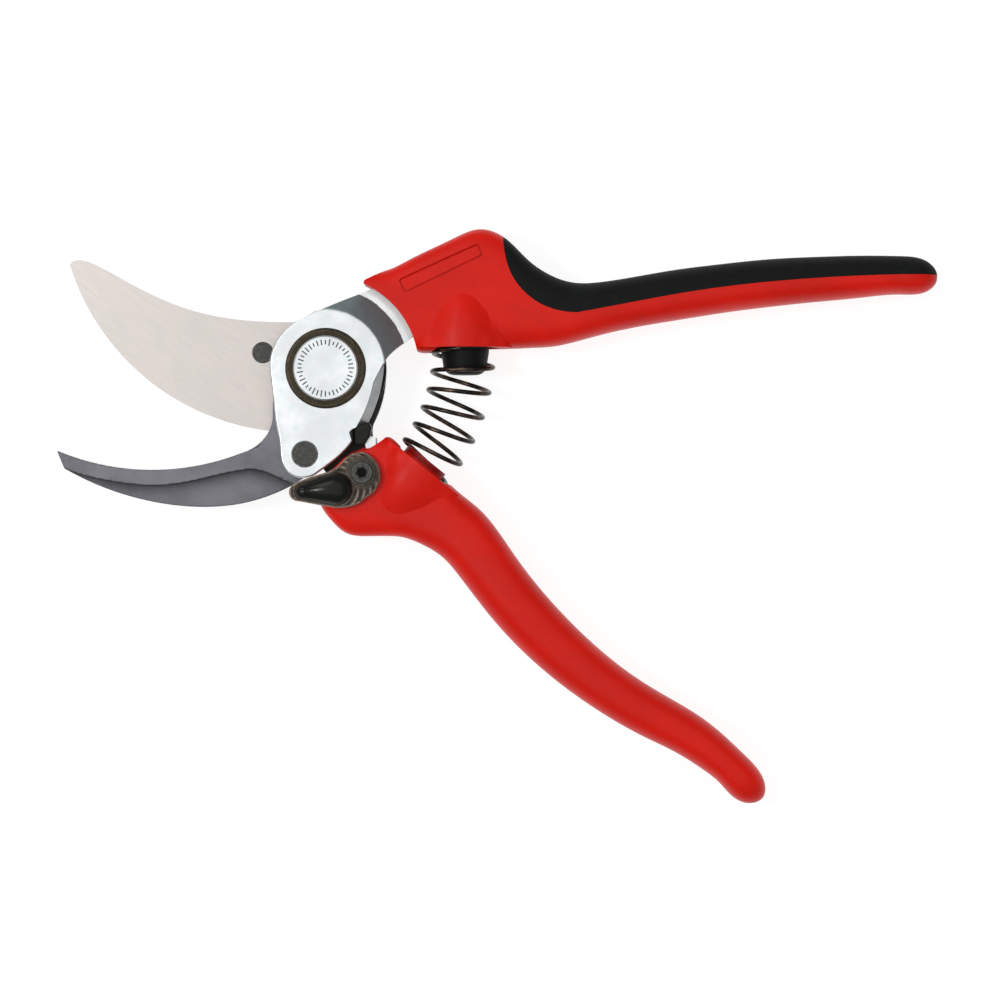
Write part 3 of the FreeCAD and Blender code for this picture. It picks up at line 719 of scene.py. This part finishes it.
class SHEARS_OT_metalwork(bpy.types.Operator):
    """Finishes of the blades, plates, rivets and pivot hardware"""

    bl_idname = "shears.metalwork"
    bl_label = "Metalwork"

    def execute(self, context):
        s = context.scene.shears_finish
        detail = context.scene.shears_detail
        zinc = zinc_plating(s.zinc)
        for node in ("pivot_nut", "pivot_bolt"):
            dress(node, zinc)
        # The head plate's finish paints shade on its step and on the arm beyond.
        dress("head_plate", pressed_zinc(s.zinc, s.bend_shade, (detail.bend_inner, detail.bend_outer)))
        # The tang's and the blade's finishes paint shade round the hub.
        dress("lower_tang", greased_zinc(s.zinc, s.hub_shade, detail.hub_shade_level))
        dress("cutting_blade", ground_steel(s.blade, s.hub_shade, detail.hub_shade_edge))
        bronze = plain_bronze(s.bronze)
        for node in ("pivot_bush", "lever_sleeve"):
            dress(node, bronze)
        turned = (
            # node, colour, radius of its hole painted black as shade, how much lighter its rim is
            ("counter_blade_rivet", s.rivet, 0, 6),
            ("blade_rivet", s.rivet, 0, 3),
            ("pivot_ring", s.ring, 0, 3),
            ("lever_screw", s.rivet, detail.socket_radius, 3),
            ("lever_washer", s.screw_washer, 0, 2),
            ("pivot_spring_washer", s.rivet, 0, 3),
        )
        for node, colour, hole, edge in turned:
            low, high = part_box(node)
            centre = (low + high) / 2
            dress(node, dark_steel(node + "_finish", colour, centre, (high.x - low.x) / 2, hole, edge))
        return {"FINISHED"}


class SHEARS_OT_counter_blade(bpy.types.Operator):
    """The counter-blade, hollowed below the curved line on its face"""

    bl_idname = "shears.counter_blade"
    bl_label = "Counter-blade"

    def execute(self, context):
        s = context.scene.shears_detail
        low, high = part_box("counter_blade")
        bm = merged_copy("counter_blade")
        levels = [round(v.co.z, 5) for v in bm.verts if low.z + CLOSE < v.co.z < high.z - CLOSE]
        floor = max(levels, key=levels.count)
        self.slice_up(bm, 0, low.x, s.scoop_right, s.scoop_pitch, floor)
        self.slice_up(bm, 1, low.y, s.scoop_top, s.scoop_pitch, floor)
        bmesh.ops.triangulate(bm, faces=bm.faces)
        floor_points = [v for v in bm.verts if abs(v.co.z - floor) < CLOSE]
        line = []
        for vertex in floor_points:
            if any(e.other_vert(vertex).co.z > floor + CLOSE for e in vertex.link_edges):
                line.append(vertex)
        wall = [v for v in bm.verts if floor + CLOSE < v.co.z < high.z - CLOSE]
        tree = KDTree(len(line))
        for k, vertex in enumerate(line):
            tree.insert((vertex.co.x, vertex.co.y, 0), k)
        tree.balance()
        # Painted shade: the step's wall, and the floor falling off from the line, get a weight that the
        # finish paints black.
        crease_shades = {v: 1.0 for v in wall if tree.find((v.co.x, v.co.y, 0))[2] < CLOSE}
        for vertex in floor_points:
            away = tree.find((vertex.co.x, vertex.co.y, 0))[2]
            crease_shades[vertex] = math.exp(-away / s.crease_shade_width)
            hollow = 1 - math.exp(-away / s.scoop_fall)
            vertex.co.z = high.z - s.scoop_lip - (high.z - floor - s.scoop_lip) * hollow
        for vertex in wall:
            vertex.co.z = high.z - s.scoop_lip * (high.z - vertex.co.z) / (high.z - floor)
        values = [crease_shades.get(v, 0.0) for v in bm.verts]
        piece = new_piece("counter_blade_face", bm, phosphate(context.scene.shears_finish.phosphate))
        piece.data.attributes.new("crease_shade", "FLOAT", "POINT").data.foreach_set("value", values)
        piece.data.set_sharp_from_angle(angle=BLADE_SHARP)
        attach(piece, "upper_handle")
        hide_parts("counter_blade")
        return {"FINISHED"}

    def slice_up(self, bm, axis, start, end, pitch, floor):
        """Cuts the faces above the hollow's floor into strips across an axis."""
        normal = Vector((0, 0, 0))
        normal[axis] = 1
        at = start + pitch
        while at < end:
            place = Vector((0, 0, 0))
            place[axis] = at
            faces = [f for f in bm.faces if f.calc_center_median().z > floor - CLOSE]
            corners = list(dict.fromkeys(v for f in faces for v in f.verts))
            edges = list(dict.fromkeys(e for f in faces for e in f.edges))
            bmesh.ops.bisect_plane(bm, geom=corners + edges + faces, plane_co=place, plane_no=normal,
                                   dist=CLOSE / 10)
            at += pitch


class SHEARS_OT_stop(bpy.types.Operator):
    """The black stop in the plate's notch, with its edges rounded"""

    bl_idname = "shears.stop"
    bl_label = "Stop"

    def execute(self, context):
        s = context.scene.shears_detail
        enamel = black_enamel(context.scene.shears_finish.lever)
        piece = softened("stop_block", "stop_casting", enamel, s.stop_voxel, s.stop_passes)
        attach(piece, "upper_handle")
        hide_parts("stop_block")
        return {"FINISHED"}


class SHEARS_OT_cap_marks(bpy.types.Operator):
    """Plain radial marks round the pivot bolt's head, dark with painted shade for engraved grooves."""

    bl_idname = "shears.cap_marks"
    bl_label = "Cap marks"

    def execute(self, context):
        s = context.scene.shears_detail
        # Painted shade: the marks are thin dark sheets standing for the shade in engraved grooves.
        groove_shade = dark_steel("mark_ink", MARK_GROOVE_SHADE, (0, 0, 0), 2 * s.tick_radius)
        tree = bpy.data.node_groups.new("ring_of_marks", "GeometryNodeTree")
        face = tree.interface
        inputs = {
            "Count": face.new_socket("Count", in_out="INPUT", socket_type="NodeSocketInt"),
            "Radius": face.new_socket("Radius", in_out="INPUT", socket_type="NodeSocketFloat"),
            "Size": face.new_socket("Size", in_out="INPUT", socket_type="NodeSocketVector"),
            "Seed": face.new_socket("Seed", in_out="INPUT", socket_type="NodeSocketInt"),
        }
        face.new_socket("Geometry", in_out="OUTPUT", socket_type="NodeSocketGeometry")

        def add(kind, links=(), **settings):
            node = tree.nodes.new(kind)
            for label, value in settings.items():
                setattr(node, label, value)
            for key, value in dict(links).items():
                if isinstance(value, bpy.types.NodeSocket):
                    tree.links.new(value, node.inputs[key])
                else:
                    node.inputs[key].default_value = value
            return node

        given = add("NodeGroupInput").outputs
        ring = add("GeometryNodeMeshCircle", {"Vertices": given["Count"], "Radius": given["Radius"]})
        mark = add("GeometryNodeMeshCube", {"Size": given["Size"]})
        spot = add("GeometryNodeInputPosition")
        turn = add("FunctionNodeAlignRotationToVector", {"Vector": spot.outputs[0]}, axis="X")
        shortest, longest = MARK_SCALES
        vary = add("FunctionNodeRandomValue", {2: shortest, 3: longest, "Seed": given["Seed"]},
                   data_type="FLOAT")
        scale = add("ShaderNodeCombineXYZ", {0: vary.outputs[1], 1: 1.0, 2: 1.0})
        marks = add("GeometryNodeInstanceOnPoints",
                    {"Points": ring.outputs[0], "Instance": mark.outputs[0],
                     "Rotation": turn.outputs[0], "Scale": scale.outputs[0]})
        solid = add("GeometryNodeRealizeInstances", {0: marks.outputs[0]})
        groove_shaded = add("GeometryNodeSetMaterial", {0: solid.outputs[0], "Material": groove_shade})
        add("NodeGroupOutput", {0: groove_shaded.outputs[0]})

        holder = bpy.data.objects.new("marks_holder", bpy.data.meshes.new("marks_holder"))
        context.scene.collection.objects.link(holder)
        modifier = holder.modifiers.new("marks", "NODES")
        modifier.node_group = tree
        modifier[inputs["Count"].identifier] = s.ticks
        modifier[inputs["Radius"].identifier] = s.tick_radius
        modifier[inputs["Size"].identifier] = (s.tick_length, s.tick_width, 2 * s.tick_rise)
        modifier[inputs["Seed"].identifier] = s.tick_seed
        piece = baked_copy(holder, "cap_marks")
        for vertex in piece.data.vertices:
            vertex.co.z += node_top("pivot_bolt")
        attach(piece, "upper_handle")
        return {"FINISHED"}


class SHEARS_OT_handles(bpy.types.Operator):
    """Moulded handle shells, the soft grip and the bumper"""

    bl_idname = "shears.handles"
    bl_label = "Handles"

    def execute(self, context):
        s = context.scene.shears_finish
        spring = context.scene.shears_spring
        last = spring.start - spring.half_turn * spring.half_turns + spring.seat_gap
        middle = Vector((spring.centre_x, spring.centre_y, 0))
        middle += spring.arc * Vector((math.cos(last), math.sin(last), 0))
        seat = (middle, last + math.pi / 2, spring.coil - spring.wire)
        dress("upper_handle_shell", moulded_red("moulded_red", s.red))
        # The lower shell's finish paints shade on the spring post.
        dress("lower_handle_shell", moulded_red("moulded_red_grimy", s.red, seat))
        dress("soft_grip", soft_rubber("soft_grip_finish", s.grip))
        dress("bumper", soft_rubber("bumper_rubber", s.rubber, rough=0.45))
        return {"FINISHED"}


class SHEARS_OT_spring(bpy.types.Operator):
    """The coil spring, wound along its arc between the handles"""

    bl_idname = "shears.spring"
    bl_label = "Spring"

    def execute(self, context):
        s = context.scene.shears_spring
        sides, steps = s.sides, s.steps
        rings = s.half_turns * steps
        middle_z = node_middle("return_spring").z

        def spot(t):
            angle = s.start - s.half_turn * t
            reach = s.arc - s.coil * math.cos(math.pi * t)
            return Vector((s.centre_x + reach * math.cos(angle), s.centre_y + reach * math.sin(angle),
                           middle_z - s.coil * math.sin(math.pi * t)))

        bm = bmesh.new()
        rows, places, shares = [], [], []
        for k in range(rings + 1):
            t = k / steps
            here = spot(t)
            ahead = (spot(t + 0.01) - spot(t - 0.01)).normalized()
            out = (here - Vector((s.centre_x, s.centre_y, middle_z))).normalized()
            up = ahead.cross(out).normalized()
            out = up.cross(ahead)
            row = []
            for j in range(sides):
                turn = 2 * math.pi * j / sides
                row.append(bm.verts.new(here + (out * math.cos(turn) + up * math.sin(turn)) * s.wire))
                places.append((t * math.pi * s.coil, math.cos(turn) * s.wire, math.sin(turn) * s.wire))
                shares.append(t / s.half_turns)
            rows.append(row)
        for first, second in zip(rows, rows[1:]):
            for j in range(sides):
                n = (j + 1) % sides
                bm.faces.new((first[j], first[n], second[n], second[j]))
        for row in (rows[0], rows[-1]):
            bm.faces.new(row)
        piece = new_piece("coil_spring", bm, spring_wire(context.scene.shears_finish.wire))
        place = piece.data.attributes.new("wire_place", "FLOAT_VECTOR", "POINT")
        place.data.foreach_set("vector", [c for p in places for c in p])
        spot(0)
        spot(s.half_turns)
        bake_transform(piece)
        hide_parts("return_spring")
        return {"FINISHED"}


class SHEARS_OT_lever(bpy.types.Operator):
    """The lock lever: a drop-shaped pad on a ridged base"""

    bl_idname = "shears.lever"
    bl_label = "Lever"

    def execute(self, context):
        s = context.scene.shears_lever
        low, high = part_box("lock_lever")
        pin = node_middle("lever_screw").xy
        sleeve_low, sleeve_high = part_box("lever_sleeve")
        bore = (sleeve_high.x - sleeve_low.x) / 2 + 0.05 * MM
        outline = evenly(outline_at("lock_lever", high.z - s.outline_below), s.sides)
        rim = KDTree(len(outline))
        for k, point in enumerate(outline):
            rim.insert((point.x, point.y, 0), k)
        rim.balance()
        tip = pin + Vector((s.tip_x, s.tip_y))
        heel = pin + Vector((s.heel_x, s.heel_y))
        run = heel - tip

        def under(point):
            """Height of the underside: the catch end is cut away."""
            away = (point - pin).length
            return low.z + s.catch_rise * smooth((away - s.catch_reach) / (0.3 * MM) + 0.5)

        def shape(point):
            """Height of the top, how far onto the pad, and how rubbed."""
            edge = rim.find((point.x, point.y, 0))[2]
            along = max(0.0, min(1.0, (point - tip).dot(run) / run.length_squared))
            radius = s.tip_radius + (s.heel_radius - s.tip_radius) * along ** 0.85
            aside = (point - tip - run * along).length
            onto = aside / radius
            height = s.base_height
            pad = math.sqrt(max(0.0, 1 - onto ** 2))
            height += pad * (s.tip_height + (s.heel_height - s.tip_height) * along * (2 - along))
            beyond = aside - radius
            ends = smooth((point.x - heel.x - 0.6 * MM) / (1.2 * MM))
            ends += smooth((tip.x - point.x + 0.6 * MM) / (0.6 * MM))
            boss = smooth(((point - pin).length - s.boss_radius) / s.boss_fade)
            pitch = s.ridge_pitch if point.x > heel.x else s.tip_pitch
            wave = 0.5 + 0.5 * math.cos(2 * math.pi * beyond / pitch)
            ridged = ends * boss * smooth(beyond / (0.25 * MM)) * smooth(edge / (0.5 * MM))
            height += ridged * (wave - 0.5) * s.ridge_height
            height += (1 - boss) * s.boss_height
            rounding = max(0.0, 1 - edge / s.rim_round)
            height -= s.rim_round * (1 - math.sqrt(max(0.0, 1 - rounding ** 2))) * 0.8
            rubbed = max(ridged * wave, smooth(1.3 - edge / (0.45 * MM)), (1 - boss) * 0.15)
            return height, pad, rubbed

        def ring(k):
            """Points round the lever, from the bore at 0 to the outline; closer near the outline."""
            share = math.sin(math.pi / 2 * k / s.rings) * 0.5 + 0.5 * k / s.rings
            return [(pin + (point - pin).normalized() * bore).lerp(point, share) for point in outline]

        bm = bmesh.new()
        pads, rubs = [], []
        rows = []
        for k in range(s.rings + 1):
            row = []
            for here in ring(k):
                height, pad, rubbed = shape(here)
                height = max(low.z + height, under(here) + s.least_wall)
                row.append(bm.verts.new((here.x, here.y, height)))
                pads.append(pad)
                rubs.append(rubbed)
            rows.append(row)
        for k in range(s.rings, -1, -1):
            rows.append([bm.verts.new((here.x, here.y, under(here))) for here in ring(k)])
        hidden = [0.0] * (len(bm.verts) - len(pads))
        pads += hidden
        rubs += hidden
        rows.append(rows[0])
        for first, second in zip(rows, rows[1:]):
            for j in range(s.sides):
                n = (j + 1) % s.sides
                bm.faces.new((first[j], first[n], second[n], second[j]))
        colours = context.scene.shears_finish
        piece = new_piece("thumb_lever", bm, worn_black(colours.lever, colours.lever_worn))
        piece.data.set_sharp_from_angle(angle=LEVER_SHARP)
        for name, values in (("pad", pads), ("rubbed", rubs)):
            piece.data.attributes.new(name, "FLOAT", "POINT").data.foreach_set("value", values)
        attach(piece, "lock_lever")
        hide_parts("lock_lever")
        return {"FINISHED"}


class SHEARS_PT_panel(bpy.types.Panel):
    """Lists the shears' pieces and their settings"""

    bl_label = "Pruning shears"
    bl_idname = "SHEARS_PT_panel"
    bl_space_type = "VIEW_3D"
    bl_region_type = "UI"
    bl_category = "Shears"

    def draw(self, context):
        for operator in OPERATORS:
            self.layout.operator(operator.bl_idname)
        for name, group in GROUPS.items():
            settings = getattr(context.scene, name)
            box = self.layout.box()
            for label in group.__annotations__:
                box.prop(settings, label)


OPERATORS = [SHEARS_OT_stage, SHEARS_OT_metalwork, SHEARS_OT_counter_blade, SHEARS_OT_stop,
             SHEARS_OT_cap_marks, SHEARS_OT_handles, SHEARS_OT_spring, SHEARS_OT_lever]
GROUPS = {
    "shears_finish": FinishSettings,
    "shears_spring": SpringSettings,
    "shears_detail": DetailSettings,
    "shears_lever": LeverSettings,
    "shears_stage": StageSettings,
}


def register():
    for name, group in GROUPS.items():
        bpy.utils.register_class(group)
        setattr(bpy.types.Scene, name, bpy.props.PointerProperty(type=group))
    for part in OPERATORS + [SHEARS_PT_panel]:
        bpy.utils.register_class(part)


def unregister():
    for part in reversed(OPERATORS + [SHEARS_PT_panel]):
        bpy.utils.unregister_class(part)
    for name, group in GROUPS.items():
        delattr(bpy.types.Scene, name)
        bpy.utils.unregister_class(group)


def main():
    register()
    bpy.ops.shears.stage()
    bpy.ops.shears.metalwork()
    bpy.ops.shears.counter_blade()
    bpy.ops.shears.stop()
    bpy.ops.shears.cap_marks()
    bpy.ops.shears.handles()
    bpy.ops.shears.spring()
    bpy.ops.shears.lever()


if __name__ == "__main__":
    main()
